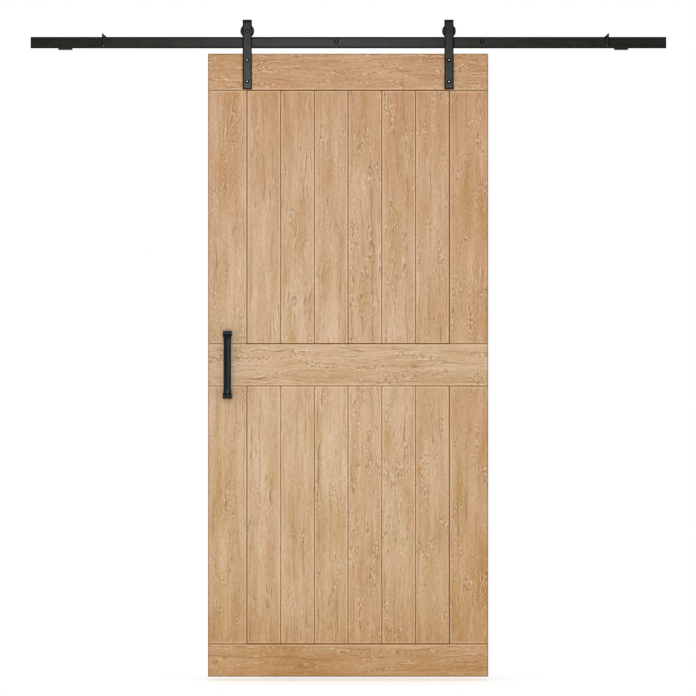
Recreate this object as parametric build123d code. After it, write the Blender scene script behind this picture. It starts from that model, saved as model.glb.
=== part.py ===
from build123d import *
import os

# Sliding barn door on a flat wall track, in millimetres.
# X runs along the track to the viewer's right, Y points at the wall, Z points up.
# The origin is on the wall, at the middle of the middle spacer's wall face.

# Door leaf: three rails as wide as the door, with stiles and planks between them
door_width = 914
door_height = 2032
door_thickness = 35
stile_width = 127
top_rail_height = 120
upper_panel_height = 825
middle_rail_height = 139
bottom_rail_height = 107.5
frame_chamfer = 1.5

# Planks: set behind the frame on both faces, with chamfers that meet in V-grooves
plank_count = 6
plank_recess = 3
plank_chamfer = 2.2

# Tongues on board edges, and the grooves that take them
tongue_length = 9
tongue_thickness = 9
tongue_clearance = 0.3
groove_stop = 30

# Track bar, set out from the middle bolt
track_left = 997
track_length = 2074
track_height = 37
track_thickness = 6
track_edge = 1
track_hole_rise = 3.5
bolt_spacing = 476
bolt_hole = 8.6
spacer_length = 32
spacer_diameter = 20

# Hanger wheel: its groove rides the track's top edge, and its sides slope from the hub to the rim
wheel_diameter = 45
wheel_width = 20
groove_depth = 3.5
groove_side_gap = 1
groove_flare = 1.5
hub_diameter = 20
side_slope = 2
rolling_gap = 0.3

# Hanger axle and the bushes at the sides of the wheel
axle_diameter = 10
axle_fit = 0.05
bush_diameter = 16
bush_thickness = 1.7
bush_gap = 0.3
axle_head_diameter = 14
axle_head_height = 2.5
axle_head_slope = 2
nut_across_flats = 17
nut_height = 7
axle_tail = 2

# Hanger strap: bolted to the door's face and bent over the wheel; the door hangs at door_x
strap_width = 30
strap_thickness = 5
strap_bend = 6
strap_crown_gap = 9.5
strap_drop = 116.5
strap_edge = 0.8
strap_corner = 2
strap_bolt_hole = 8.6
strap_bolt_drops = (21, 91)
hanger_inset = 128
door_top_gap = 18
door_x = 39

# End brackets: hooks that carry the track, each inset from an end of it to the bracket's middle
left_bracket_inset = 113
right_bracket_inset = 147
bracket_width = 45
bracket_thickness = 5
bracket_bend = 1.5
bracket_lip = 10
bracket_plate_rise = 34
bracket_screw_spacing = 25
bracket_screw_hole = 6
bracket_screw_rise = 20

# End stops: clamps over the track with a wedge on top, each inset from an end of it to the outer face
left_stop_inset = 233
right_stop_inset = 187
stop_width = 10
stop_toe = 5
stop_wedge_height = 12.5
stop_tip = 1.5
stop_wall = 5
stop_side_gap = 0.2
stop_leg = 35
stop_screw_hole = 5
stop_screw_rise = 6.5

# Pull handle: a round grip that flares to a collar at each foot
handle_length = 222
grip_diameter = 25
collar_diameter = 33
collar_edge = 2
flare_length = 20
foot_width = 29
foot_height = 13
foot_edge = 2
finger_gap = 30

# Positions that follow from the sizes
plank_width = (door_width - 2 * stile_width) / plank_count
plank_thickness = door_thickness - 2 * plank_recess
lower_panel_height = (
    door_height - top_rail_height - upper_panel_height - middle_rail_height - bottom_rail_height
)
groove_length = tongue_length + tongue_clearance
groove_width = tongue_thickness + 2 * tongue_clearance

track_end = track_length - track_left
track_x = track_length / 2 - track_left
track_z = -track_hole_rise
track_top = track_z + track_height / 2
track_bottom = track_z - track_height / 2
track_y = -(spacer_length + track_thickness / 2)

rolling_radius = wheel_diameter / 2 - groove_depth
axle_z = track_top + rolling_gap + rolling_radius
throat = wheel_width + 2 * (bush_thickness + bush_gap)
strap_top = axle_z + wheel_diameter / 2 + strap_crown_gap + strap_thickness

door_face = track_y - throat / 2
door_y = door_face + door_thickness / 2
door_left = door_x - door_width / 2
door_top = track_bottom - door_top_gap
upper_panel_top = door_top - top_rail_height
middle_rail_top = upper_panel_top - upper_panel_height
lower_panel_top = middle_rail_top - middle_rail_height
bottom_rail_top = lower_panel_top - lower_panel_height
hanger_xs = (door_left + hanger_inset, door_left + door_width - hanger_inset)


def box_at(x, y, z, size_x, size_y, size_z):
    """A plain block around a middle point."""
    return Pos(x, y, z) * Box(size_x, size_y, size_z)


def rod_y(x, y, z, diameter, length):
    """A round bar along Y around a middle point."""
    return Pos(x, y, z) * Rot(90, 0, 0) * Cylinder(diameter / 2, length)


def turned_y(points):
    """A body turned about Y from (radius, y) points."""
    return revolve(make_face(Polyline(*points, close=True)), Axis.Y)


def bent_strip(points, bend, thickness, width):
    """Flat strip folded along (y, z) points on its middle line, as wide as `width` along X."""
    line = FilletPolyline(*[(0, y, z) for y, z in points], radius=bend + thickness / 2)
    start = Plane(line @ 0, x_dir=(1, 0, 0), z_dir=line % 0)
    return sweep(start * Rectangle(width, thickness), path=line)


# Rails
def rail(top, height, groove_above, groove_below):
    """A board as wide as the door, chamfered round both faces and grooved along its inner edges."""
    board = box_at(door_x, door_y, top - height / 2, door_width, door_thickness, height)
    board = chamfer(board.faces().filter_by(Axis.Y).edges(), frame_chamfer)
    run = door_width - 2 * groove_stop
    if groove_above:
        board -= box_at(door_x, door_y, top - groove_length / 2, run, groove_width, groove_length)
    if groove_below:
        bottom = top - height + groove_length / 2
        board -= box_at(door_x, door_y, bottom, run, groove_width, groove_length)
    return board


def strap_bolt_holes(board):
    """The board with the strap bolts' holes drilled through it."""
    for x in hanger_xs:
        for drop in strap_bolt_drops:
            board -= rod_y(x, door_y, door_top - drop, strap_bolt_hole, 4 * door_thickness)
    return board


# Stiles and planks
def upright(left, width, thickness, edge, top, height, tongue_right, groove_left, cut_back):
    """An upright board: its section run along its length, around a thinner core.

    The core runs on past both ends as tongues for the rails, and past the right side as a tongue for
    the next board. The end tongues stop short of a door edge by cut_back (left, right).
    """
    start = cut_back[0] - width / 2
    end = width / 2 - cut_back[1]
    if tongue_right:
        end += tongue_length
    section = chamfer(Rectangle(width, thickness).vertices(), edge)
    core = Pos((start + end) / 2, 0) * Rectangle(end - start, tongue_thickness)
    if groove_left:
        groove = Pos((groove_length - width) / 2, 0) * Rectangle(groove_length, groove_width)
        section -= groove
        core -= groove
    board = extrude(section, height / 2, both=True)
    board += extrude(core, height / 2 + tongue_length, both=True)
    return Pos(left + width / 2, door_y, top - height / 2) * board


def left_stile(top, height):
    cut_back = (groove_stop + tongue_clearance, 0)
    return upright(door_left, stile_width, door_thickness, frame_chamfer, top, height, True, False, cut_back)


def right_stile(top, height):
    left = door_left + door_width - stile_width
    cut_back = (0, groove_stop + tongue_clearance)
    return upright(left, stile_width, door_thickness, frame_chamfer, top, height, False, True, cut_back)


def plank(number, top, height):
    left = door_left + stile_width + number * plank_width
    return upright(left, plank_width, plank_thickness, plank_chamfer, top, height, True, True, (0, 0))


# Track and spacers
def track_bar():
    """Flat bar with eased long edges and a hole for each wall bolt."""
    bar = box_at(track_x, track_y, track_z, track_length, track_thickness, track_height)
    bar = chamfer(bar.edges().filter_by(Axis.X), track_edge)
    for x in (0, bolt_spacing):
        bar -= rod_y(x, track_y, 0, bolt_hole, 4 * track_thickness)
    return bar


def spacer(x):
    """Round tube between the wall and the back of the track."""
    tube = rod_y(x, -spacer_length / 2, 0, spacer_diameter, spacer_length)
    return tube - rod_y(x, -spacer_length / 2, 0, bolt_hole, 2 * spacer_length)


# End brackets
def end_bracket(x):
    """Hook folded from flat bar: a plate on the wall, an arm under the track and a lip before it."""
    half = bracket_thickness / 2
    lip_y = track_y - track_thickness / 2 - bracket_bend - half
    arm_z = track_bottom - half
    path = [
        (-half, track_bottom + bracket_plate_rise),
        (-half, arm_z),
        (lip_y, arm_z),
        (lip_y, track_bottom + bracket_lip),
    ]
    hook = Pos(x, 0, 0) * bent_strip(path, bracket_bend, bracket_thickness, bracket_width)
    for side in (-1, 1):
        hole_x = x + side * bracket_screw_spacing / 2
        hook -= rod_y(hole_x, -half, track_bottom + bracket_screw_rise, bracket_screw_hole, 4 * half)
    return hook


# End stops
def end_stop(x, inward):
    """Clamp over the track; its wedge slopes down to a toe on the side the wheel comes from."""
    depth = track_thickness + 2 * (stop_side_gap + stop_wall)
    outline = Polyline(
        (0, track_top - stop_leg),
        (0, track_top + stop_wedge_height),
        (stop_tip, track_top + stop_wedge_height),
        (stop_width + stop_toe, track_top),
        (stop_width, track_top),
        (stop_width, track_top - stop_leg),
        close=True,
    )
    block = extrude(Plane.XZ * make_face(outline), depth / 2, both=True)
    slot = track_thickness + 2 * stop_side_gap
    block -= box_at(0, 0, track_top - track_height, 8 * stop_width, slot, 2 * track_height)
    screw_z = track_top - stop_leg + stop_screw_rise
    block -= rod_y(stop_width / 2, -depth / 2, screw_z, stop_screw_hole, 2 * stop_wall)
    if inward < 0:
        block = mirror(block, Plane.YZ)
    return Pos(x, track_y, 0) * block


# Hangers
def hanger_strap(x):
    """Flat bar from the door's face up, over the wheel and down behind it to the axle."""
    half = strap_thickness / 2
    back_y = track_y + throat / 2 + half
    path = [
        (door_face - half, door_top - strap_drop),
        (door_face - half, strap_top - half),
        (back_y, strap_top - half),
        (back_y, axle_z - strap_width / 2),
    ]
    strap = bent_strip(path, strap_bend, strap_thickness, strap_width)
    strap = chamfer(strap.faces().filter_by(Axis.X).edges(), strap_edge)
    ends = rod_y(0, back_y, axle_z, strap_width, 2 * strap_thickness)
    tail = box_at(0, back_y, axle_z - strap_width / 2, 2 * strap_width, 2 * strap_thickness, strap_width)
    strap -= tail - ends
    corners = strap.edges().filter_by(Axis.Y).group_by(Axis.Z)[0]
    strap = fillet(corners, strap_corner)
    strap -= rod_y(0, track_y, axle_z, axle_diameter + 4 * axle_fit, 4 * throat)
    for drop in strap_bolt_drops:
        strap -= rod_y(0, door_face, door_top - drop, strap_bolt_hole, 4 * strap_thickness)
    return Pos(x, 0, 0) * strap


def wheel(x):
    """Wheel with a track groove between flared flanges."""
    rim = wheel_diameter / 2
    side = wheel_width / 2
    groove = track_thickness / 2 + groove_side_gap
    half = [
        (rolling_radius, groove),
        (rim, groove + groove_flare),
        (rim, side - side_slope),
        (hub_diameter / 2, side),
        (axle_diameter / 2 + axle_fit, side),
    ]
    points = half + [(r, -y) for r, y in reversed(half)]
    return Pos(x, track_y, axle_z) * turned_y(points)


def axle(x):
    """Bolt with a low round head before the strap and a nut behind it."""
    front = door_face - strap_thickness
    back = track_y + throat / 2 + strap_thickness
    shank = axle_diameter / 2
    head = axle_head_diameter / 2
    points = [
        (0, front - axle_head_height),
        (head - axle_head_slope, front - axle_head_height),
        (head, front),
        (shank, front),
        (shank, back + nut_height + axle_tail),
        (0, back + nut_height + axle_tail),
    ]
    bolt = turned_y(points)
    hexagon = RegularPolygon(nut_across_flats / 2, 6, major_radius=False)
    nut = Pos(0, back, 0) * extrude(Plane.XZ * hexagon, -nut_height)
    return Pos(x, 0, axle_z) * (bolt + nut)


def bushes(x):
    """Two rings on the axle, one against each leg of the strap."""
    ring = rod_y(x, 0, axle_z, bush_diameter, bush_thickness)
    ring -= rod_y(x, 0, axle_z, axle_diameter + 4 * axle_fit, 2 * bush_thickness)
    out = (throat - bush_thickness) / 2
    return Compound([Pos(0, track_y - out, 0) * ring, Pos(0, track_y + out, 0) * ring])


# Pull handle
def pull_handle():
    """Round grip with a flared collar at each end, standing on two square feet."""
    x = door_left + stile_width / 2
    z = middle_rail_top - middle_rail_height / 2
    grip = grip_diameter / 2
    collar = collar_diameter / 2
    end = handle_length / 2 - foot_height
    start = end - flare_length
    side = [
        Line((0, 0), (grip, 0)),
        Line((grip, 0), (grip, start)),
        Spline((grip, start), (collar, end - collar_edge), tangents=((0, 1), (0.7, 1))),
        Line((collar, end - collar_edge), (collar - collar_edge, end)),
        Line((collar - collar_edge, end), (0, end)),
        Line((0, end), (0, 0)),
    ]
    half = revolve(Plane.XZ * make_face(side), Axis.Z)
    bar = half + mirror(half, Plane.XY)
    reach = finger_gap + grip_diameter
    handle = Pos(0, -finger_gap - grip, 0) * bar
    for way in (-1, 1):
        foot = box_at(0, -reach / 2, way * (handle_length - foot_height) / 2, foot_width, reach, foot_height)
        front = foot.faces().sort_by(Axis.Y)[0]
        handle += fillet(front.edges(), foot_edge)
    return Pos(x, door_face, z) * handle


pieces = {
    "top_rail": strap_bolt_holes(rail(door_top, top_rail_height, False, True)),
    "middle_rail": rail(middle_rail_top, middle_rail_height, True, True),
    "bottom_rail": rail(bottom_rail_top, bottom_rail_height, True, False),
    "upper_left_stile": left_stile(upper_panel_top, upper_panel_height),
    "upper_right_stile": right_stile(upper_panel_top, upper_panel_height),
    "lower_left_stile": left_stile(lower_panel_top, lower_panel_height),
    "lower_right_stile": right_stile(lower_panel_top, lower_panel_height),
    "pull_handle": pull_handle(),
    "track_bar": track_bar(),
    "middle_spacer": spacer(0),
    "right_spacer": spacer(bolt_spacing),
    "left_end_bracket": end_bracket(left_bracket_inset - track_left),
    "right_end_bracket": end_bracket(track_end - right_bracket_inset),
    "left_stop": end_stop(left_stop_inset - track_left, 1),
    "right_stop": end_stop(track_end - right_stop_inset, -1),
}
for number in range(plank_count):
    pieces[f"upper_plank_{number + 1}"] = plank(number, upper_panel_top, upper_panel_height)
    pieces[f"lower_plank_{number + 1}"] = plank(number, lower_panel_top, lower_panel_height)
for side, x in zip(("left", "right"), hanger_xs):
    pieces[f"{side}_hanger_strap"] = hanger_strap(x)
    pieces[f"{side}_axle"] = axle(x)
    pieces[f"{side}_bushes"] = bushes(x)
    pieces[f"{side}_wheel"] = wheel(x)

os.makedirs("parts", exist_ok=True)
for name, shape in pieces.items():
    export_step(shape, f"parts/{name}.step")
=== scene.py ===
# %% [markdown]
# # A sliding barn door, dressed in Blender
#
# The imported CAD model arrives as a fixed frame: boards, track, hangers and handle, each at its real place.
# This lesson gives every piece its finish, adds the small fasteners, and sets up a plain white studio.
# All lengths are in metres: X runs along the track, Y points at the wall, Z points up.

import math

import bpy
import numpy as np
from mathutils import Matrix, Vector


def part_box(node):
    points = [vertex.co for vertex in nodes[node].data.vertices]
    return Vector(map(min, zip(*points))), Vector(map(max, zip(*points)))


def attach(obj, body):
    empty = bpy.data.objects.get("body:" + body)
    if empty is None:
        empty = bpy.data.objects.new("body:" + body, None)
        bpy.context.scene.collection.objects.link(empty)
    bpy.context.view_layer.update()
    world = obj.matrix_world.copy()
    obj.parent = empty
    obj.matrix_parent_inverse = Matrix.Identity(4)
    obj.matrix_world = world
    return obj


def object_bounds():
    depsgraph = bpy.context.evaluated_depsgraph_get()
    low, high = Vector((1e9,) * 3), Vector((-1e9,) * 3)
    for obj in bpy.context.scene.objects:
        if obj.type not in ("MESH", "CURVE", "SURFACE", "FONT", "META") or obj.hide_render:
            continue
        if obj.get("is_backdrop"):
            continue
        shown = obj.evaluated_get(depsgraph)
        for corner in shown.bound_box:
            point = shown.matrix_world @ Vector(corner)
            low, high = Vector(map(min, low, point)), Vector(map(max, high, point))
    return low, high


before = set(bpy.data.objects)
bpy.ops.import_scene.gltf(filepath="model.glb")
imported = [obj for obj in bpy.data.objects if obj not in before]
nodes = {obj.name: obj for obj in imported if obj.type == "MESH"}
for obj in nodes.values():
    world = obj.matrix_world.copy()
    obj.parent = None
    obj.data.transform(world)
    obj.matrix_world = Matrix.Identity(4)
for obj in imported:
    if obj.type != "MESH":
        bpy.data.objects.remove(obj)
cad_low, cad_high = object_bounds()
print(f"{len(nodes)} CAD nodes, from {np.round(cad_low, 3)} to {np.round(cad_high, 3)}")

# %% [markdown]
# ## Where the door is
#
# Sizes could be typed in again here, but then the looks would drift from the model as soon as a board
# changes. So places are read from the frame. Only what a box can't tell is a value, such as the tongue that a
# board hides in its neighbour.

# %% Read the door's places from the frame
tongue = 0.009


def corners(node):
    """Lowest and highest corner of a CAD node as two numpy arrays."""
    low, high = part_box(node)
    return np.array(low), np.array(high)


top_low, top_high = corners("top_rail")
bottom_low, _ = corners("bottom_rail")
door_face = top_low[1]
door_middle = np.array([(top_low[0] + top_high[0]) / 2, door_face, (top_high[2] + bottom_low[2]) / 2])
door_half_width = (top_high[0] - top_low[0]) / 2
door_half_height = (top_high[2] - bottom_low[2]) / 2
door_bottom = bottom_low[2]
print(f"door {2 * door_half_width:.3f} wide and {2 * door_half_height:.3f} tall")

# %% [markdown]
# ## Camera
#
# The door is seen straight on with hardly any perspective: no underside of the track shows. An orthographic
# camera would do, but a long lens far back keeps a trace of depth and works with every other view.
# A sensor s wide behind a lens f shows a width w at the distance w * f / s.

# %% Place the camera
picture_width = 2.270
picture_middle = (0.0386, -1.000)
camera_lens = 350.0
camera_data = bpy.data.cameras.new("camera")
camera_data.lens = camera_lens
camera_distance = picture_width * camera_lens / camera_data.sensor_width
camera = bpy.data.objects.new("camera", camera_data)
camera.location = (picture_middle[0], door_face - camera_distance, picture_middle[1])
camera.rotation_euler = (math.radians(90), 0, 0)
camera_data.clip_end = 100
bpy.context.collection.objects.link(camera)
bpy.context.scene.camera = camera
bpy.context.scene.view_settings.view_transform = "Standard"
print(f"camera {camera_distance:.2f} m before the door")

# %% [markdown]
# ## Formulas as shader graphs
#
# A procedural material is arithmetic on a point's place, and Blender writes arithmetic as Math nodes.
# Wiring each by hand hides the formula, so a Signal stands for a number in the graph: adding or multiplying
# Signals adds the Math nodes, and the code reads like the formula.


# %% Define a signal
class Signal:
    """A number that varies over the surface; arithmetic on it adds Math nodes to its graph."""

    def __init__(self, graph, socket):
        self.graph = graph
        self.socket = socket

    def __add__(self, other):
        return self.graph.math("ADD", self, other)

    def __radd__(self, other):
        return self.graph.math("ADD", other, self)

    def __sub__(self, other):
        return self.graph.math("SUBTRACT", self, other)

    def __rsub__(self, other):
        return self.graph.math("SUBTRACT", other, self)

    def __mul__(self, other):
        return self.graph.math("MULTIPLY", self, other)

    def __rmul__(self, other):
        return self.graph.math("MULTIPLY", other, self)

    def __truediv__(self, other):
        return self.graph.math("DIVIDE", self, other)

    def __abs__(self):
        return self.graph.math("ABSOLUTE", self)


print("signals add, subtract, multiply and divide")

# %% [markdown]
# ## Short words for nodes
#
# A finish such as oak needs a hundred nodes or more, most of them noise, steps and mixes. They could be
# placed by hand in the shader editor. A Graph has one short word for each kind instead, so that a finish fits
# in a few lines. Every word takes plain numbers, colours and Signals alike.


# %% Define the graph
class Graph:
    """Short words for the nodes of one material."""

    def __init__(self, tree):
        self.tree = tree

    def node(self, kind, inputs=None, **settings):
        """A node of that kind; inputs maps a socket's name or number to a value or an output."""
        node = self.tree.nodes.new("ShaderNode" + kind)
        for key, value in settings.items():
            setattr(node, key, value)
        for key, value in (inputs or {}).items():
            self.feed(node.inputs[key], value)
        return node

    def feed(self, socket, value):
        """Joins an output to a socket, or sets the socket's own value."""
        value = getattr(value, "socket", value)
        if isinstance(value, bpy.types.NodeSocket):
            self.tree.links.new(value, socket)
        else:
            socket.default_value = value

    def math(self, operation, *values):
        """One step of arithmetic."""
        return Signal(self, self.node("Math", dict(enumerate(values)), operation=operation).outputs[0])

    def step(self, value, low, high):
        """0 below low, 1 above high, and an S-curve in between."""
        inputs = {"Value": value, "From Min": low, "From Max": high}
        return Signal(self, self.node("MapRange", inputs, interpolation_type="SMOOTHSTEP").outputs[0])

    def place(self, turn=(0, 0, 0), shift=(0, 0, 0)):
        """The point's place on the object, turned and then shifted."""
        inputs = {"Vector": self.node("TexCoord").outputs["Object"], "Rotation": turn, "Location": shift}
        return self.node("Mapping", inputs).outputs[0]

    def split(self, vector):
        """The three numbers of a vector."""
        return [Signal(self, socket) for socket in self.node("SeparateXYZ", {0: vector}).outputs]

    def vector(self, *numbers):
        """A vector from three numbers."""
        return self.node("CombineXYZ", dict(enumerate(numbers))).outputs[0]

    def noise(self, vector, pitch, detail=2.0, roughness=0.55, start=0.0):
        """Noise between 0 and 1 whose features are as long as pitch along each axis."""
        inputs = {0: vector, 1: tuple(1 / p for p in pitch), 2: (start, start * 0.7, start * 1.3)}
        scaled = self.node("VectorMath", inputs, operation="MULTIPLY_ADD").outputs[0]
        settings = {"Vector": scaled, "Scale": 1.0, "Detail": detail, "Roughness": roughness}
        return Signal(self, self.node("TexNoise", settings).outputs[0])

    def mix(self, factor, first, second, blend="MIX"):
        """A colour mixed from first to second."""
        node = self.node("Mix", data_type="RGBA", blend_type=blend)
        for number, value in ((0, factor), (6, first), (7, second)):
            self.feed(node.inputs[number], value)
        return node.outputs[2]

    def bump(self, height, depth):
        """A surface normal for a relief of that depth in metres."""
        return self.node("Bump", {"Height": height, "Distance": depth, "Strength": 1.0}).outputs[0]


print("graph words ready")

# %% [markdown]
# ## Colours and materials
#
# Shaders reckon in linear light, but a colour is easier to judge in the screen values of a picture. So
# colours are written in screen values and turned into linear ones here. Each finish starts from a Principled
# shader, and a CAD mesh takes it in place of the plain one that it came with.


# %% Define the colour and material helpers
def linear(red, green, blue):
    """A colour given in screen values from 0 to 255, as the linear values that shaders take."""
    c = np.array([red, green, blue]) / 255
    c = np.where(c <= 0.04045, c / 12.92, ((c + 0.055) / 1.055) ** 2.4)
    return (*c.tolist(), 1.0)


def new_material(name):
    """An empty material, its graph and its Principled shader."""
    material = bpy.data.materials.new(name)
    material.use_nodes = True
    return material, Graph(material.node_tree), material.node_tree.nodes["Principled BSDF"]


def dress(material, *names):
    """Puts a material on CAD nodes."""
    for name in names:
        mesh = nodes[name].data
        mesh.materials.clear()
        mesh.materials.append(material)


print(f"screen grey 128 is {linear(128, 128, 128)[0]:.3f} in linear light")

# %% [markdown]
# ## Oak: the board that a grain belongs to
#
# The boards are light oak, sawn along the grain. A single texture over the whole door would run straight
# through the joints, so every board has its own grain, measured from the middle of its own face:
# across the board, into it, and along it. The rails lie, so their grain is turned by a quarter.

# %% Measure a point from the middle of its board
boards = [name for name in nodes if name.endswith("rail") or "stile" in name or "plank" in name]


def is_rail(name):
    """Whether a board lies across the door."""
    return name.endswith("rail")


def column_of(name):
    """The name that an upper and a lower board share."""
    return name.removeprefix("upper_").removeprefix("lower_")


def board_face(name):
    """Corners of a board without the tongues that its neighbours hide."""
    low, high = corners(name)
    if not is_rail(name):
        low[2] += tongue
        high[2] -= tongue
    if "plank" in name or "left_stile" in name:
        high[0] -= tongue
    return low, high


def board_place(graph, name):
    """A point's place across, into and along its board."""
    low, high = board_face(name)
    middle = (low + high) / 2
    if is_rail(name):
        turned_place = graph.place(turn=(0, math.radians(-90), 0), shift=(middle[2], -middle[1], -middle[0]))
        return graph.split(turned_place)
    return graph.split(graph.place(shift=tuple(-middle)))


print(f"{len(boards)} boards, {sum(map(is_rail, boards))} of them rails")

# %% [markdown]
# ## Oak: patterns that follow the grain
#
# Nearly all that shows on a board is noise pulled out along the grain, or thin lines that run with it.
# A Board keeps the coordinates in which its grain is straight, so that bending the grain once bends every
# pattern that is made afterwards. A line is where a count of the distance across the grain, shaken by noise,
# passes a half.

# %% Define a board with its grain
pattern_depth = 3
pattern_roughness = 0.6
pattern_step = 7
wave_wide = 3
wave_long = 15


class Board:
    """The oak of one board: its material, its coordinates and the patterns that follow its grain."""

    def __init__(self, name, seed):
        self.name = name
        self.seed = seed
        self.material, self.graph, self.shader = new_material(name + "_oak")
        self.across, self.depth, self.along = board_place(self.graph, name)
        self.follow(self.across)

    def follow(self, bent):
        """Lets the grain run where the bent across-coordinate stays the same."""
        self.bent = bent
        self.grain = self.graph.vector(bent, self.depth, self.along)

    def pattern(self, wide, long, number, detail=2.0):
        """Noise of that width and length, pulled out along the grain; each number gives another one."""
        pitch = (wide, pattern_depth * wide, long)
        start = self.seed + pattern_step * number
        return self.graph.noise(self.grain, pitch, detail, pattern_roughness, start)

    def lines(self, spacing, width, wave, number, shift=0.0):
        """Thin lines along the grain, about that far apart and that wide."""
        waves = self.pattern(wave_wide * spacing, wave_long * spacing, number)
        count = self.bent / spacing + wave * waves + shift
        return 1 - self.graph.step(abs(self.graph.math("FRACT", count) - 0.5), 0.0, width / spacing)


print(f"patterns go {pattern_depth} times as deep as they are wide")

# %% [markdown]
# ## Oak: knots
#
# A knot is a branch that the grain flows round, as water flows round a post. The stream round a post of
# radius R follows the lines on which d * (1 - R^2 / r^2) stays the same, with d the distance sideways and r
# the distance from the middle. So each knot shifts the across-coordinate by about -d * R^2 / r^2, softened
# near the middle so that the pattern stays whole there. Away from knots the grain still wanders a little.
# A lower board has the knots of the board above it, a bit lower.

# %% Place the knots and bend the grain round them
mm = 0.001
knots = {
    "left_stile": [(33, 311, 11)],
    "plank_1": [(12, -172, 9)],
    "plank_2": [(-10, -32, 9), (-10, -270, 11)],
    "plank_4": [(-37, -32, 14), (-31, -84, 13), (-14, -260, 10)],
    "plank_5": [(20, 256, 13), (-13, -32, 11)],
    "plank_6": [(-45, -77, 13)],
    "top_rail": [(-34, -430, 13), (-41, 431, 12)],
    "middle_rail": [(-15, -430, 15)],
    "bottom_rail": [(4, -433, 12), (-3, 56, 14), (-12, 108, 10), (-32, 278, 10), (-12, 437, 12)],
}
lower_shift = -29
knot_length = 1 / 0.6
knot_bend = 0.7
knot_softness = 0.4
knot_ragged = 3.0
knot_fade = (0.1, 1.3)
slow_wander = 0.03
quick_wander = 0.016


def board_knots(name):
    """Knots of a board as (across, along, radius) in metres."""
    shift = lower_shift if name.startswith("lower_") else 0
    return [(a * mm, (l + shift) * mm, r * mm) for a, l, r in knots.get(column_of(name), [])]


def bend_round_knots(board):
    """Bends a board's grain round its knots, and gives how far a point is in a knot, from 0 to 1."""
    graph = board.graph
    ragged = board.pattern(0.012, 0.016, 1, 3.0)
    slow = slow_wander * (board.pattern(0.2, 0.8, 2) - 0.5)
    quick = quick_wander * (board.pattern(0.06, 0.12, 15) - 0.5)
    bent = board.across + (slow + quick)
    inside = 0.0
    for knot_across, knot_along, radius in board_knots(board.name):
        d = board.across - knot_across
        l = (board.along - knot_along) / knot_length
        r2 = d * d + l * l
        bent = bent - knot_bend * radius**2 * d / (r2 + knot_softness * radius**2)
        reach = graph.math("SQRT", r2) / radius + knot_ragged * (ragged - 0.5)
        inside = inside + 1.0 - graph.step(reach, *knot_fade)
    board.follow(bent)
    return graph.math("MINIMUM", inside, 1.0)


print(f"{sum(len(board_knots(name)) for name in boards)} knots")

# %% [markdown]
# ## Oak: tone
#
# Oak isn't one brown. Broad bands, soft streaks, fibres and hairs each lighten or darken the wood, and wide
# patches drift between a pinkish and a yellowish tan. The door is palest round its middle rail and warmer
# towards its head and foot, and some boards are a shade warmer than their neighbours. A colour ramp could do
# this too, but mixing a deep and a bright tone keeps the two ends of each board's range in plain sight.
# The deep end loses more blue than red, because dark wood is also redder.

# %% Define the oak's tone
pale_tone = np.array([206, 173, 133])
warm_tone = np.array([193, 149, 97])
grain_contrast = np.array([21, 30, 44])
oak_pink = (1.023, 0.989, 1.012, 1.0)
oak_yellow = (0.987, 0.997, 0.952, 1.0)
head_tint = (1.0, 1.0, 1.065, 1.0)
foot_tint = (1.0, 1.0, 0.935, 1.0)
tone_shift = {"plank_4": 0.15, "plank_5": 0.1, "plank_6": 0.25, "left_stile": 0.08, "right_stile": 0.6}
middle_warmth = 0.14
head_warmth = 0.97
foot_dip = 0.55
foot_warmth = 1.5
hue_patch = (0.030, 0.12)
# Each layer's width and length in metres, number of its noise, detail, and weight in the tone
grain_layers = {
    "bands": (0.036, 0.28, 3, 1.0, 0.9),
    "streaks": (0.009, 0.20, 5, 3.0, 0.5),
    "fibres": (0.0036, 0.032, 6, 3.0, 0.8),
    "hairs": (0.0014, 0.011, 12, 2.0, 1.2),
}


def oak_grain(board):
    """How light the grain is, a half plus each layer's weighted part, and the streaks and fibres in it."""
    light = 0.5
    layers = {}
    for layer, (wide, long, number, detail, weight) in grain_layers.items():
        layers[layer] = board.pattern(wide, long, number, detail)
        light = light + weight * (layers[layer] - 0.5)
    return light, layers["streaks"], layers["fibres"]


def oak_tone(board, light, height):
    """Colour of the wood between its marks; height runs from -1 at the door's foot to 1 at its head.

    The warmth grows with the square of the height above the middle. Below the middle it first dips and
    then grows with the cube of the depth.
    """
    graph = board.graph
    up = graph.math("MAXIMUM", height, 0.0)
    down = graph.math("MAXIMUM", 0.0 - height, 0.0)
    warmth = middle_warmth + head_warmth * up * up - foot_dip * down + foot_warmth * down * down * down
    warmth = warmth + tone_shift.get(column_of(board.name), 0.0)
    deep = graph.mix(warmth, linear(*(pale_tone - grain_contrast)), linear(*(warm_tone - grain_contrast)))
    bright = graph.mix(warmth, linear(*(pale_tone + grain_contrast)), linear(*(warm_tone + grain_contrast)))
    hue = graph.step(board.pattern(*hue_patch, 4, 1.0), 0.35, 0.65)
    colour = graph.mix(light, deep, bright)
    colour = graph.mix(1.0, colour, graph.mix(hue, oak_pink, oak_yellow), "MULTIPLY")
    return graph.mix(1.0, colour, graph.mix(0.5 + 0.5 * height, foot_tint, head_tint), "MULTIPLY")


print(f"oak from {pale_tone} to {warm_tone}")

# %% [markdown]
# ## Oak: marks
#
# Three kinds of marks lie on the tone: single growth lines, short dark cracks in groups with a pale fleck
# beside each, and patches of fine dark and pale specks. Knots are filled with specks too, and the lines stay
# out of them. Some boards have more patches than others. Noise that is cut by a step gives a patch its edge,
# so one value sets how many there are.

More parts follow.
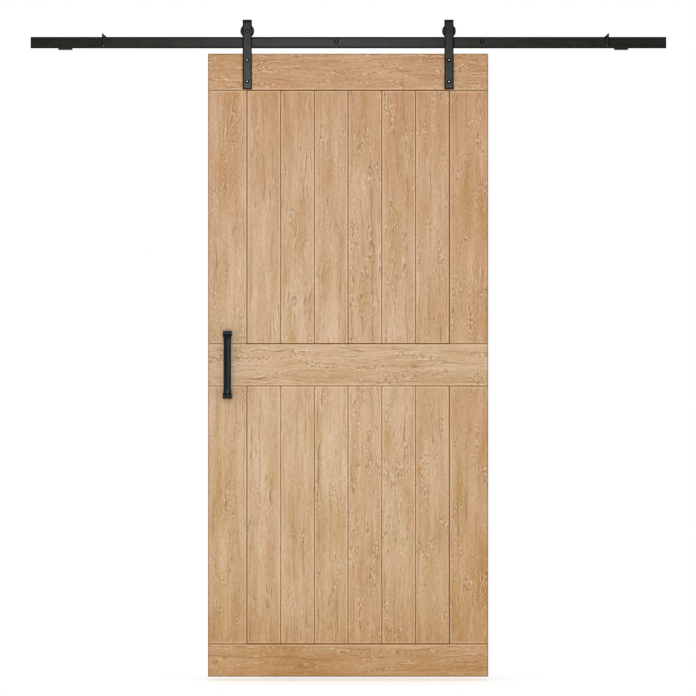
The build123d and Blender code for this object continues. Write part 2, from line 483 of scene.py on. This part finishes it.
# %% Define the oak's marks
patch_share = {"plank_1": -0.04, "plank_2": -0.03, "plank_4": 0.06, "top_rail": 0.05, "middle_rail": 0.05}
usual_patch_share = 0.03
growth_spacing = 0.032
growth_wave = 1.5
crack_spacing = 0.014
crack_wave = 3.0
crack_width = 0.0022
fleck_width = 0.0030
fleck_shift = 0.2
dark_speck = 0.95
pale_speck = 1.4


def oak_marks(board, knot, speck):
    """Growth lines, cracks and flecks of a board, each 0 where there is none."""
    graph = board.graph
    growth = board.lines(growth_spacing, crack_width, growth_wave, 7)
    growth = growth * graph.step(board.pattern(0.04, 0.14, 8), 0.46, 0.62) * (1 - knot)
    groups = graph.step(board.pattern(0.06, 0.16, 9), 0.48, 0.62)
    groups = groups * graph.step(board.pattern(0.010, 0.030, 10), 0.46, 0.56) * (1 - knot)
    share = patch_share.get(column_of(board.name), usual_patch_share)
    patch = graph.step(board.pattern(0.026, 0.11, 13), 0.56 - share, 0.67 - share)
    patch = graph.math("MINIMUM", patch + knot, 1.0)
    crack = board.lines(crack_spacing, crack_width, crack_wave, 11) * groups
    crack = crack + dark_speck * patch * (1 - graph.step(speck, 0.34, 0.46))
    fleck = board.lines(crack_spacing, fleck_width, crack_wave, 11, fleck_shift) * groups
    fleck = fleck + pale_speck * patch * graph.step(speck, 0.54, 0.66)
    return growth, crack, fleck


print(f"patches: usual share {usual_patch_share}, others {patch_share}")

# %% [markdown]
# ## Oak: joints
#
# Boards meet in small V-grooves. A groove is darkened partly by dirt and the turned grain and partly by
# painted shade, where the raised frame and the groove's walls shade the wood, and its rounded brow gets a
# painted highlight as a pale line. Both follow the distance from the board's own edges, so they stay with the
# joint on any board. The grooves round the panels are deep, those between a rail and a stile are shallow, and
# the door's outer edges get only a little painted shade where they round off. A texture painted over the door
# could show all this, but it would have to be painted again for a door of another size.

# %% Define the joints
joint_reach = {"plank": 0.0026, "left_stile": 0.0026, "right_stile": 0.0038, "rail": 0.0041}
# Depths of the painted dirt and shade along a board's sides, head and foot
joint_dirt_and_shade_depths = {
    "upper_plank": (0.66, 0.85, 0.85),
    "lower_plank": (0.55, 0.30, 0.85),
    "left_stile": (0.90, 0.90, 0.90),
    "upper_right_stile": (0.95, 0.90, 0.90),
    "lower_right_stile": (0.78, 0.90, 0.90),
    "top_rail": (0.0, 0.0, 0.95),
    "middle_rail": (0.0, 1.0, 0.55),
    "bottom_rail": (0.0, 0.95, 0.0),
}
shallow_joint = 0.5
brow_highlight_width = 0.0041
stile_blend = 0.002
outer_joint = (0.004, 0.006)
outer_brow_highlight = (0.007, 0.011)
# Painted shade along the door's rounded outer edges: its band and depth
outline_shade_band = (0.0022, 0.0045)
outline_shade_depth = 0.55
face_skin = (0.0028, 0.0014)
panel_half = (corners("upper_right_stile")[0][0] - board_face("upper_left_stile")[1][0]) / 2


def of_kind(values, name):
    """The value of the first kind that a board's name holds."""
    return next(value for kind, value in values.items() if kind in name)


def oak_joints(board, x, z):
    """How far a point, x and z from the door's middle, is in a joint's dirt and painted shade and in the
    painted highlight by it.
    """
    graph = board.graph
    low, high = (corner - door_middle for corner in board_face(board.name))
    side_depth, head_depth, foot_depth = of_kind(joint_dirt_and_shade_depths, board.name)
    reach = of_kind(joint_reach, board.name)
    from_side = (high[0] - low[0]) / 2 - abs(x - (low[0] + high[0]) / 2)
    from_head = high[2] - z
    from_foot = z - low[2]
    from_outline = graph.math("MINIMUM", door_half_width - abs(x), door_half_height - abs(z))

    def groove(distance):
        """1 at the edge and 0 beyond the joint's reach."""
        return 1 - graph.step(distance, 0.35 * reach, reach)

    over_stile = graph.step(abs(x), panel_half - stile_blend, panel_half + stile_blend)
    # Dirt and painted shade in the grooves, shallower where a rail meets a stile
    lying = graph.math("MAXIMUM", head_depth * groove(from_head), foot_depth * groove(from_foot))
    lying = lying * (1 - (1 - shallow_joint) * over_stile)
    dark = graph.math("MAXIMUM", side_depth * groove(from_side), lying)
    dark = dark * graph.step(from_outline, *outer_joint)
    # Painted shade along the door's rounded outer edges
    outline_shade = outline_shade_depth * (1 - graph.step(from_outline, *outline_shade_band))
    from_edge = graph.math("MINIMUM", from_side, graph.math("MINIMUM", from_head, from_foot))
    # Painted highlight: a pale line on each groove's brow, where light would catch it
    brow_highlight = graph.step(from_edge, 0.6 * reach, reach)
    brow_highlight = brow_highlight * (1 - graph.step(from_edge, reach + 0.4 * brow_highlight_width, reach + brow_highlight_width))
    brow_highlight = brow_highlight * graph.step(from_outline, *outer_brow_highlight)
    half_thickness = (high[1] - low[1]) / 2
    on_face = graph.step(abs(board.depth), half_thickness - face_skin[0], half_thickness - face_skin[1])
    return graph.math("MAXIMUM", dark, outline_shade) * on_face, brow_highlight * on_face


print(f"panels {2 * panel_half:.3f} wide between the stiles")

# %% [markdown]
# ## Oak: the finished board
#
# The colour is laid on as on paper: the tone, a breath of brown in the knots, the pale flecks, the dark lines
# and cracks over them, the painted highlight on each groove's brow, and last the joints' dirt and painted
# shade. Fibres stand up a little and cracks lie lower, which a bump shows at this depth as well as real
# relief would. The finish is matt, so the wood hardly mirrors anything.

# %% Put oak on the boards
oak_crack = linear(122, 80, 44)
# Pale flecks in the wood; also the colour of the painted highlight on the grooves' brows
oak_fleck_and_highlight = linear(236, 208, 174)
oak_knot = linear(172, 116, 76)
# Colour of the grooves' dirt and painted shade
groove_dirt_and_shade = linear(126, 78, 4)
knot_strength = 0.16
fleck_strength = 0.5
growth_strength = 0.5
crack_strength = 0.6
darkest_crack = 0.7
# Strength of the painted highlight on the grooves' brows
brow_highlight_strength = 0.42
speck_size = (0.0034, 0.0090)
grain_relief = 0.0003
oak_gloss = 0.1
seed_step = 3.7


def oak(name, seed):
    """Light oak for one board, from its own place, tone, knots and joints."""
    board = Board(name, seed)
    graph = board.graph
    x, _, z = graph.split(graph.place(shift=tuple(-door_middle)))
    speck = board.pattern(*speck_size, 14, 1.0)
    knot = bend_round_knots(board)
    light, streaks, fibres = oak_grain(board)
    growth, crack, fleck = oak_marks(board, knot, speck)
    joint_dirt_and_shade, brow_highlight = oak_joints(board, x, z)

    colour = oak_tone(board, light, z / door_half_height)
    colour = graph.mix(knot_strength * knot, colour, oak_knot)
    colour = graph.mix(fleck_strength * fleck, colour, oak_fleck_and_highlight)
    cracked = growth_strength * growth + crack_strength * crack
    colour = graph.mix(graph.math("MINIMUM", cracked, darkest_crack), colour, oak_crack)
    # Painted highlight on each groove's brow
    colour = graph.mix(brow_highlight_strength * brow_highlight, colour, oak_fleck_and_highlight)
    # Dirt and painted shade in the joints
    colour = graph.mix(joint_dirt_and_shade, colour, groove_dirt_and_shade)

    graph.feed(board.shader.inputs["Base Color"], colour)
    graph.feed(board.shader.inputs["Roughness"], 0.5 + 0.25 * streaks)
    graph.feed(board.shader.inputs["Normal"], graph.bump(fibres + 0.5 * streaks - crack, grain_relief))
    board.shader.inputs["Specular IOR Level"].default_value = oak_gloss
    return board.material


for number, name in enumerate(sorted(boards)):
    dress(oak(name, seed_step * (number + 1)), name)
print(f"oak on {len(boards)} boards")

# %% [markdown]
# ## Black steel, nylon and cast iron
#
# The track, hangers, brackets and stops are powder-coated steel: a greenish black with a fine orange-peel
# skin, with painted shade as deeper black along their rounded edges. The wheels are black nylon: their faces
# are painted a lighter grey as the reflection of their sloped sides, and only the rim shows the black. The
# handle is a casting with a slightly uneven skin. Each is the same graph with other values; what differs
# between pieces is only where the black of the edges and rims lies.

# %% Define the dark finishes
# Painted shade on the steel's rounded edges, and the black rim of the wheels
shade_and_rim_black = linear(7, 7, 6)
deep_roughness = 0.9
mottle_size = 0.03
mottle_shades = (0.8, 1.25)
mottle_roughness = 0.12
# Pitch and relief of a skin, in metres
powder_skin = (0.0012, 0.00004)
nylon_skin = (0.0008, 0.00003)
cast_skin = (0.004, 0.0001)


def from_sides(graph, x, z, half):
    """Distance from the sides of a flat piece, seen from the front."""
    return graph.math("MINIMUM", half[0] - abs(x), half[2] - abs(z))


def from_rim(graph, x, z, half):
    """Distance from the rim of a wheel that turns about Y."""
    return half[0] - graph.math("SQRT", x * x + z * z)


def dark(name, colour, roughness, gloss, skin, node=None, from_edge=None, reach=0.0):
    """A dark finish: mottled colour and roughness over a skin, and black within reach of the edge: painted
    shade on steel, the rim on a wheel.
    """
    material, graph, shader = new_material(name)
    place = graph.place()
    pitch, relief = skin
    mottle = graph.noise(place, (mottle_size,) * 3, 4.0, 0.6)
    peel = graph.noise(place, (pitch,) * 3, 2.0)
    base = np.array(linear(*colour)[:3])
    low, high = ((*(base * share).tolist(), 1.0) for share in mottle_shades)
    shade = graph.mix(graph.step(mottle, 0.3, 0.7), low, high)
    satin = roughness - mottle_roughness / 2 + mottle_roughness * mottle
    if from_edge:
        lowest, highest = corners(node)
        x, _, z = graph.split(graph.place(shift=tuple(-(lowest + highest) / 2)))
        inside = graph.step(from_edge(graph, x, z, (highest - lowest) / 2), 0.5 * reach, 1.1 * reach)
        # Painted shade along a steel piece's edges; on a wheel, the rim's own black
        shade = graph.mix(inside, shade_and_rim_black, shade)
        satin = satin + (1 - inside) * (deep_roughness - roughness)
    graph.feed(shader.inputs["Base Color"], shade)
    graph.feed(shader.inputs["Roughness"], satin)
    graph.feed(shader.inputs["Normal"], graph.bump(peel, relief))
    shader.inputs["Specular IOR Level"].default_value = gloss
    return material


def steel(name, *edge):
    """Satin black powder coat."""
    return dark(name, (27, 28, 22), 0.32, 0.08, powder_skin, *edge)


black_steel = steel("black_steel")
bolt_black = dark("bolt_black", (4, 4, 4), 0.7, 0.02, powder_skin)
# How far the painted edge shade reaches on each kind of flat piece
edge_shade_reach = {"bar": 0.0064, "strap": 0.0046, "stop": 0.0034}
rim_reach = 0.0055
flat_nodes = [name for name in nodes if name.endswith(tuple(edge_shade_reach))]
wheel_nodes = [name for name in nodes if name.endswith("wheel")]
bush_nodes = [name for name in nodes if name.endswith("bushes")]
plain_nodes = [name for name in nodes if name.endswith(("axle", "spacer", "bracket"))]
for name in flat_nodes:
    dress(steel(name + "_steel", name, from_sides, edge_shade_reach[name.split("_")[-1]]), name)
for name in wheel_nodes:
    # A wheel's face is painted grey as the reflection of its sloped sides; its rim keeps the nylon's black
    dress(dark(name + "_nylon", (50, 51, 46), 0.5, 0.1, nylon_skin, name, from_rim, rim_reach), name)
dress(black_steel, *plain_nodes)
dress(dark("black_nylon", (16, 16, 16), 0.55, 0.15, nylon_skin), *bush_nodes)
iron_sheen = (0.8, 0.97, 1.0, 1.0)
handle_iron = dark("handle_iron", (8, 14, 15), 0.34, 0.13, cast_skin)
handle_iron.node_tree.nodes["Principled BSDF"].inputs["Specular Tint"].default_value = iron_sheen
dress(handle_iron, "pull_handle")
print(f"edged steel on {len(flat_nodes)} nodes, plain steel on {len(plain_nodes)}")

# %% [markdown]
# ## Bright steel
#
# The ends of the bolts and the stops' screws are bare zinc-plated steel, dulled by handling: a metal with
# a faint cloud in its colour and fine marks in its polish. A flat grey would do for so small a spot, but
# a metal takes its tone from what it mirrors, so it looks right from other sides too.

# %% Define the bright steel
cloud_size = (0.0015, 0.0015, 0.0015)
mark_size = (0.0003, 0.0003, 0.002)
dull_zinc = linear(104, 104, 100)
clear_zinc = linear(138, 137, 132)
bright_steel, graph, shader = new_material("bright_steel")
cloud = graph.noise(graph.place(), cloud_size, 3.0)
marks = graph.noise(graph.place(), mark_size, 2.0)
graph.feed(shader.inputs["Base Color"], graph.mix(cloud, dull_zinc, clear_zinc))
graph.feed(shader.inputs["Roughness"], 0.22 + 0.25 * marks)
shader.inputs["Metallic"].default_value = 1.0
print(f"bright steel with clouds {cloud_size[0] / mm:.1f} mm wide")

# %% [markdown]
# ## Bolts and screws
#
# Bolts, washers and cap nuts are turned on a lathe, so each is a profile carried round an axis. The profile
# is a list of rings, from the front end to the back end: radius, distance before the seat, and whether the
# ring is a hexagon. A hexagon only scales the circle's radius, so one grid makes both. Blender's own
# cylinders could be stacked instead, but a profile keeps a bolt in one closed skin.

# %% Define a turned body
turned_sides = 24
sharp_angle = math.radians(35)


def turned(name, profile, seats, body, bright_rings):
    """Bodies turned about Y, one on each seat.

    On a ring of radius r, h before the seat, the point at the angle a is
    (x + r * k * cos a, y - h, z + r * k * sin a).
    On a hexagon k is cos 30 / cos(a mod 60 - 30), else it is 1.
    """
    radius, before, six = np.array(profile, dtype=float).T
    angle = np.linspace(0, 2 * np.pi, turned_sides, endpoint=False)
    flats = np.cos(np.pi / 6) / np.cos(angle % (np.pi / 3) - np.pi / 6)
    r = mm * radius[:, None] * np.where(six[:, None] > 0, flats, 1.0)
    h = np.broadcast_to(mm * before[:, None], r.shape)
    shape = np.stack([r * np.cos(angle), -h, r * np.sin(angle)], axis=-1)
    points = (np.array(seats)[:, None, None, :] + shape).reshape(-1, 3)

    rings = len(profile)
    ring, side = np.meshgrid(np.arange(rings - 1), np.arange(turned_sides), indexing="ij")
    following = (side + 1) % turned_sides
    near = ring * turned_sides
    far = near + turned_sides
    skin = np.stack([near + side, far + side, far + following, near + following], axis=-1).reshape(-1, 4)
    around = np.arange(turned_sides)
    caps = np.stack([around, (rings - 1) * turned_sides + around[::-1]])
    first = (np.arange(len(seats)) * rings * turned_sides)[:, None, None]
    skins = (first + skin).reshape(-1, 4)
    ends = (first + caps).reshape(-1, turned_sides)
    skin_finish = np.tile(ring.ravel() < bright_rings, len(seats))
    end_finish = np.tile([bright_rings > 0, False], len(seats))
    mesh = bpy.data.meshes.new(name)
    mesh.from_pydata(points.tolist(), [], skins.tolist() + ends.tolist())
    mesh.materials.append(bolt_black)
    mesh.materials.append(bright_steel)
    mesh.polygons.foreach_set("material_index", np.concatenate([skin_finish, end_finish]).astype(np.int32))
    mesh.shade_smooth()
    mesh.set_sharp_from_angle(angle=sharp_angle)
    piece = bpy.data.objects.new(name, mesh)
    bpy.context.collection.objects.link(piece)
    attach(piece, body)
    print(f"{name}: {len(seats)}, {len(mesh.polygons)} faces")


print(f"a turned body has {turned_sides} sides")

# %% [markdown]
# ## Strap bolts
#
# Two bolts hold each strap to the top rail. From the front each is a black ring with a bright dome in
# it; behind the rail it ends in a washer and a cap nut. Their places follow from the straps' boxes.

# %% Bolt the straps to the door
strap_bolt_rises = (0.0955, 0.0255)
strap_bolt_profile = [
    (0.5, 2.9, 0), (0.9, 2.8, 0), (1.1, 2.5, 0), (1.3, 1.8, 0),
    (2.4, 2.3, 0), (5.4, 2.3, 0), (6.5, 1.6, 0), (6.6, 0.0, 0), (4.0, 0.0, 0), (4.0, -40.0, 0),
    (8.0, -40.0, 0), (8.0, -41.2, 0), (7.5, -41.2, 1), (7.5, -44.6, 1),
    (5.6, -45.2, 0), (3.6, -46.4, 0), (1.0, -46.9, 0),
]
strap_seats = []
for strap in ("left_hanger_strap", "right_hanger_strap"):
    low, high = corners(strap)
    strap_seats += [((low[0] + high[0]) / 2, low[1], low[2] + rise) for rise in strap_bolt_rises]
turned("strap_bolts", strap_bolt_profile, strap_seats, "door", 4)

# %% [markdown]
# ## Track bolts
#
# A coach bolt through the track and its spacer shows a low head with a bright spot. The hangers pass in front
# of it, so the profile keeps the head lower than the gap behind the strap.

# %% Bolt the track to the wall
track_bolt_profile = [
    (0.5, 2.6, 0), (1.0, 2.4, 0), (1.3, 1.8, 0),
    (2.0, 2.4, 0), (5.4, 2.6, 0), (6.6, 1.6, 0), (6.7, 0.0, 0), (4.1, 0.0, 0), (4.1, -37.5, 0),
]
track_front = corners("track_bar")[0][1]
spacer_boxes = [corners(name) for name in ("middle_spacer", "right_spacer")]
track_seats = [((low[0] + high[0]) / 2, track_front, (low[2] + high[2]) / 2) for low, high in spacer_boxes]
turned("track_bolts", track_bolt_profile, track_seats, "track", 3)

# %% [markdown]
# ## Stop screws and bracket screws
#
# A small bright screw near the foot of each stop clamps it to the track. The brackets are screwed to the wall
# behind the track, where the heads hardly show. Both are turned like the bolts, with fewer rings.

# %% Screw on the stops and the brackets
stop_screw_profile = [
    (0.4, 0.2, 0), (0.9, 0.2, 0), (1.2, 0.3, 0), (1.9, 0.2, 0), (2.3, -0.2, 0), (2.3, -5.0, 0),
]
stop_screw_inset = 0.005
stop_screw_rise = 0.0065
stop_seats = []
for stop, side in (("left_stop", 1), ("right_stop", -1)):
    low, high = corners(stop)
    outer = low[0] if side > 0 else high[0]
    stop_seats.append((outer + side * stop_screw_inset, low[1], low[2] + stop_screw_rise))
turned("stop_screws", stop_screw_profile, stop_seats, "track", 2)

bracket_screw_profile = [
    (0.9, 2.4, 0), (2.6, 2.2, 0), (4.2, 1.4, 0), (4.8, 0.4, 0), (4.8, 0.0, 0), (2.8, 0.0, 0), (2.8, -4.8, 0),
]
bracket_plate = 0.005
bracket_screw_half = 0.0125
bracket_screw_z = -0.002
bracket_seats = []
for bracket in ("left_end_bracket", "right_end_bracket"):
    low, high = corners(bracket)
    screw_xs = (low[0] + high[0]) / 2 + np.array([-1, 1]) * bracket_screw_half
    bracket_seats += [(x, high[1] - bracket_plate, bracket_screw_z) for x in screw_xs]
turned("bracket_screws", bracket_screw_profile, bracket_seats, "track", 0)

# %% [markdown]
# ## Studio floor
#
# The door hangs a finger's width above the floor. The floor is white and takes the door's soft shadow close
# by. Lit by the studio alone it would look grey, so for the camera and for reflections it also glows by what
# it lacks, and further out it is plain white, so that it has no edge.

# %% Make the floor
floor_gap = 0.012
floor_half = 30.0
floor_lack = 0.36
floor_stretch = 0.03
floor_fade = (0.15, 0.45)
floor_z = door_bottom - floor_gap
corner_x = np.array([-1, 1, 1, -1]) * floor_half
corner_y = np.array([-1, -1, 1, 1]) * floor_half
floor_mesh = bpy.data.meshes.new("floor")
floor_corners = np.column_stack([corner_x, corner_y, np.full(4, floor_z)])
floor_mesh.from_pydata(floor_corners.tolist(), [], [(0, 1, 2, 3)])
floor = bpy.data.objects.new("floor", floor_mesh)
bpy.context.collection.objects.link(floor)
floor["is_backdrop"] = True


def seen_directly(graph):
    """1 where a camera, mirror or glass ray looks, and 0 where light is only gathered."""
    path = graph.node("LightPath").outputs
    seen = graph.math("MAXIMUM", path["Is Camera Ray"], path["Is Glossy Ray"])
    return graph.math("MAXIMUM", seen, path["Is Transmission Ray"])


floor_white, graph, shader = new_material("floor_white")
shader.inputs["Base Color"].default_value = (0.92, 0.92, 0.92, 1)
shader.inputs["Roughness"].default_value = 1.0
shader.inputs["Specular IOR Level"].default_value = 0.0
flat_x, flat_y, _ = graph.split(graph.place(shift=(-door_middle[0], -door_face, 0)))
away = graph.math("SQRT", floor_stretch * flat_x * flat_x + flat_y * flat_y)
seen = seen_directly(graph)
glow = graph.node("Emission", {"Color": (1, 1, 1, 1), "Strength": 1.0}).outputs[0]
lift = graph.node("Emission", {"Color": (1, 1, 1, 1), "Strength": floor_lack * seen}).outputs[0]
lifted = graph.node("AddShader", {0: shader.outputs[0], 1: lift}).outputs[0]
far = graph.step(away, *floor_fade)
blend = graph.node("MixShader", {0: seen * far, 1: lifted, 2: glow}).outputs[0]
graph.feed(floor_white.node_tree.nodes["Material Output"].inputs[0], blend)
floor_mesh.materials.append(floor_white)
print(f"floor at {floor_z:.3f}")

# %% [markdown]
# ## Studio light
#
# A white surround gives even light from all sides, and a large soft lamp before the door models the chamfers.
# Their strengths are set so that a board renders about as its colour is written. Black satin shows a
# lamp mostly as its reflection, so two small lamps that only show in reflections draw the highlights on the
# track and along the handle, and leave the boards alone.

# %% Light the studio
surround = 0.68
world = bpy.data.worlds.new("studio")
world.use_nodes = True
bpy.context.scene.world = world
graph = Graph(world.node_tree)
background = world.node_tree.nodes["Background"]
background.inputs["Color"].default_value = (1, 1, 1, 1)
graph.feed(background.inputs["Strength"], seen_directly(graph) * (1 - surround) + surround)


def soft_lamp(name, place, target, width, height, power, shine_only=False):
    """A rectangular lamp at a place, facing a target; it lights surfaces or only shines in them."""
    lamp = bpy.data.lights.new(name, "AREA")
    lamp.shape = "RECTANGLE"
    lamp.size = width
    lamp.size_y = height
    lamp.energy = power
    lamp_object = bpy.data.objects.new(name, lamp)
    away = np.array(place) - np.array(target)
    lamp_object.location = place
    tilt = math.atan2(math.hypot(away[0], away[1]), away[2])
    lamp_object.rotation_euler = (tilt, 0, math.atan2(away[0], -away[1]))
    lamp_object.visible_diffuse = not shine_only
    lamp_object.visible_glossy = shine_only
    bpy.context.collection.objects.link(lamp_object)


handle_middle = np.mean(corners("pull_handle"), axis=0)
soft_lamp("key_lamp", (-0.7, -4.4, -0.9), door_middle, width=2.0, height=2.0, power=57)
soft_lamp("track_lamp", (-0.06, -1.8, -0.35), (-0.06, 0, 0), width=0.8, height=0.2, power=62, shine_only=True)
soft_lamp("handle_lamp", (2.5, -2.7, -1.0), handle_middle, width=0.5, height=1.2, power=50, shine_only=True)
print(f"surround {surround}")

# %% [markdown]
# ## Sizes
#
# A door with its finish on should fill the same box as its CAD model, because nothing on it is soft. Both
# boxes could be read off in the viewport; here the finished door's box is measured and the most that it
# reaches past the CAD box is printed.

# %% Compare the finished door's box with the CAD box
low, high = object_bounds()
past_box = np.maximum(np.array(cad_low) - np.array(low), np.array(high) - np.array(cad_high)).max()
print(f"past the CAD box by {past_box:.6f} at most")
